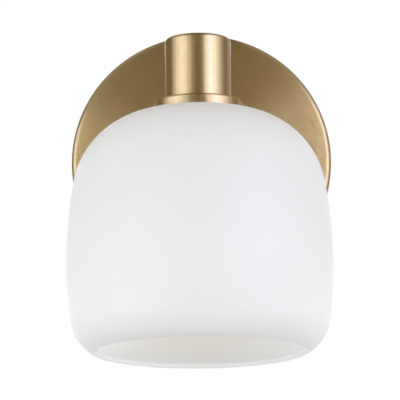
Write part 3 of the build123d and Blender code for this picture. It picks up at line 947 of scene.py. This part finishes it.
class VANITY_OT_stage(bpy.types.Operator):
    """Camera, softboxes, pale floor and white background"""

    bl_idname = "vanity.stage"
    bl_label = "Studio"

    # Angle that a strip of a softbox takes up, and the strips' levels from left to right. They fade out
    # like a softbox.
    STRIP = radians(15)
    LEFT = (0.95, 2.0, 2.7, 2.45, 1.36, 0.27)
    RIGHT = (0.13, 2.4, 3.45, 2.95, 1.75, 0.72, 0.1, 0.05, 0.36)
    # Name, turn from the camera's side, rise and level of each fill panel, by the tint that the group has.
    # Mirrored rays see only two of them.
    FILL = {
        "fill_tint": (
            ("front", 0, -10, 1.9), ("back_left", -125, 6, 1.3), ("back_right", 125, 6, 0.85),
            ("top", 0, 62, 0.42), ("high_left", -90, 55, 0.33), ("high_right", 90, 55, 0.33),
        ),
        "low_tint": (
            ("low_left", -60, -42, 0.75), ("low_right", 75, -45, 0.85), ("low_back", 180, -48, 0.45),
        ),
        "under_tint": (("under", 0, -86, 0.2),),
    }
    MIRRORED = "high_left", "high_right"
    FILL_SIZE = 2.0, 1.1
    AIM = Vector((0, -0.1, 0))

    def camera(self, context, studio):
        pitch, yaw, roll = studio.camera_pitch, studio.camera_yaw, studio.camera_roll
        ahead = Vector((sin(yaw) * cos(pitch), cos(yaw) * cos(pitch), sin(pitch)))
        right = Vector((cos(yaw), -sin(yaw), 0))
        above = right.cross(ahead)
        leaning = cos(roll) * right + sin(roll) * above
        above = cos(roll) * above - sin(roll) * right
        data = bpy.data.cameras.new("photo_camera")
        data.lens = studio.lens
        data.sensor_width = 36
        camera = add_object("photo_camera", data)
        axes = Matrix((leaning, above, -ahead)).transposed().to_4x4()
        camera.matrix_world = Matrix.Translation(studio.camera_place) @ axes
        context.scene.camera = camera

    def panel(self, name, place, size, level, tint):
        """Flat light that faces the shade from a turn, a rise and a distance; its radiance is the level."""
        turn, rise, distance = place
        offset = distance * Vector((sin(turn) * cos(rise), -cos(turn) * cos(rise), sin(rise)))
        data = bpy.data.lights.new(name, "AREA")
        data.shape = "RECTANGLE"
        data.size, data.size_y = size
        data.color = tint
        data.energy = level * pi * data.size * data.size_y
        light = add_object(name, data)
        light.location = self.AIM + offset
        light.rotation_euler = (-offset).to_track_quat("-Z", "Y").to_euler()
        light.visible_camera = False
        return light

    def panels(self, studio):
        """Two softboxes of upright strips, the right one's core, and the fill panels."""
        width = 2 * studio.distance * tan(self.STRIP / 2)
        for name, first, rise, height, tint, levels in (
            ("left", -90, studio.left_rise, studio.left_height, studio.left_tint, self.LEFT),
            ("right", 15, studio.right_rise, studio.right_height, studio.right_tint, self.RIGHT),
        ):
            for number, level in enumerate(levels):
                place = radians(first) + number * self.STRIP, rise, studio.distance
                self.panel(f"{name}_{number}", place, (width, height), level * studio.sides, tint)
        place = studio.core_turn, studio.right_rise, studio.distance
        size = studio.core_width, studio.right_height
        core = self.panel("core", place, size, studio.core, studio.core_tint)
        core.visible_diffuse = False
        for tint, group in self.FILL.items():
            for name, turn, rise, level in group:
                place = radians(turn), radians(rise), studio.distance
                level *= studio.fill
                light = self.panel(name, place, self.FILL_SIZE, level, getattr(studio, tint))
                light.visible_glossy = name in self.MIRRORED

    def world(self, context, studio):
        """White to the camera on all sides, and a white sheet behind the light in reflections; else dim."""
        world = bpy.data.worlds.new("studio")
        tree = Tree(world)
        camera, mirrored = background_rays(tree)
        ahead = tree.vector("DOT_PRODUCT", tree.add("ShaderNodeTexCoord", output="Generated"), (0, 1, 0), 1)
        sheet = tree.add(
            "ShaderNodeMapRange", {"interpolation_type": "SMOOTHSTEP"},
            {"Value": ahead, "From Min": 0.8, "From Max": 1.0},
        )
        seen = tree.add("ShaderNodeMath", {"operation": "MAXIMUM"}, {0: camera, 1: mirrored * sheet})
        dim, white = (
            tree.add("ShaderNodeBackground", None, {"Color": (*tint, 1), "Strength": level})
            for tint, level in ((studio.room_tint, studio.room), ((1, 1, 1), 1.0))
        )
        surface = tree.add("ShaderNodeMixShader", None, {0: seen, 1: dim, 2: white})
        tree.add("ShaderNodeOutputWorld", None, {"Surface": surface})
        context.scene.world = world

    def floor(self, studio):
        half, z = 6.0, -studio.floor_depth
        points = [(-half, -half, z), (half, -half, z), (half, half, z), (-half, half, z)]
        mesh = bpy.data.meshes.new("studio_floor")
        mesh.from_pydata(points, [], [(0, 1, 2, 3)])
        floor = add_object("studio_floor", mesh)
        mesh.materials.append(pale_floor(studio.floor_level))

    def execute(self, context):
        studio = context.scene.vanity_light.studio
        self.camera(context, studio)
        self.panels(studio)
        self.world(context, studio)
        self.floor(studio)
        context.scene.view_settings.view_transform = "Standard"
        return {"FINISHED"}


OPERATORS = (
    VANITY_OT_finishes, VANITY_OT_plate, VANITY_OT_arm, VANITY_OT_cup, VANITY_OT_shade, VANITY_OT_socket,
    VANITY_OT_ring, VANITY_OT_fasteners, VANITY_OT_wiring, VANITY_OT_stage,
)


class VANITY_PT_panel(bpy.types.Panel):
    """Buttons for the pieces, and the sizes and colours that they use"""

    bl_idname = "VANITY_PT_panel"
    bl_label = "Vanity light"
    bl_space_type = "VIEW_3D"
    bl_region_type = "UI"
    bl_category = "Vanity light"

    def draw(self, context):
        for operator in OPERATORS:
            self.layout.operator(operator.bl_idname)
        for group in VanityLight.__annotations__:
            box = self.layout.box()
            box.label(text=group.capitalize())
            settings = getattr(context.scene.vanity_light, group)
            for name in settings.__annotations__:
                box.prop(settings, name)


CLASSES = (
    PlateSizes, ArmSizes, CupSizes, ShadeSizes, SocketSizes, RingSizes, FastenerSizes, WiringSizes,
    FinishColours, StudioSettings, VanityLight, *OPERATORS, VANITY_PT_panel,
)


def register():
    for cls in CLASSES:
        bpy.utils.register_class(cls)
    bpy.types.Scene.vanity_light = PointerProperty(type=VanityLight)


def unregister():
    del bpy.types.Scene.vanity_light
    for cls in reversed(CLASSES):
        bpy.utils.unregister_class(cls)


def main():
    register()
    bpy.ops.vanity.finishes()
    bpy.ops.vanity.plate()
    bpy.ops.vanity.arm()
    bpy.ops.vanity.cup()
    bpy.ops.vanity.shade()
    bpy.ops.vanity.socket()
    bpy.ops.vanity.ring()
    bpy.ops.vanity.fasteners()
    bpy.ops.vanity.wiring()
    bpy.ops.vanity.stage()


if __name__ == "__main__":
    main()
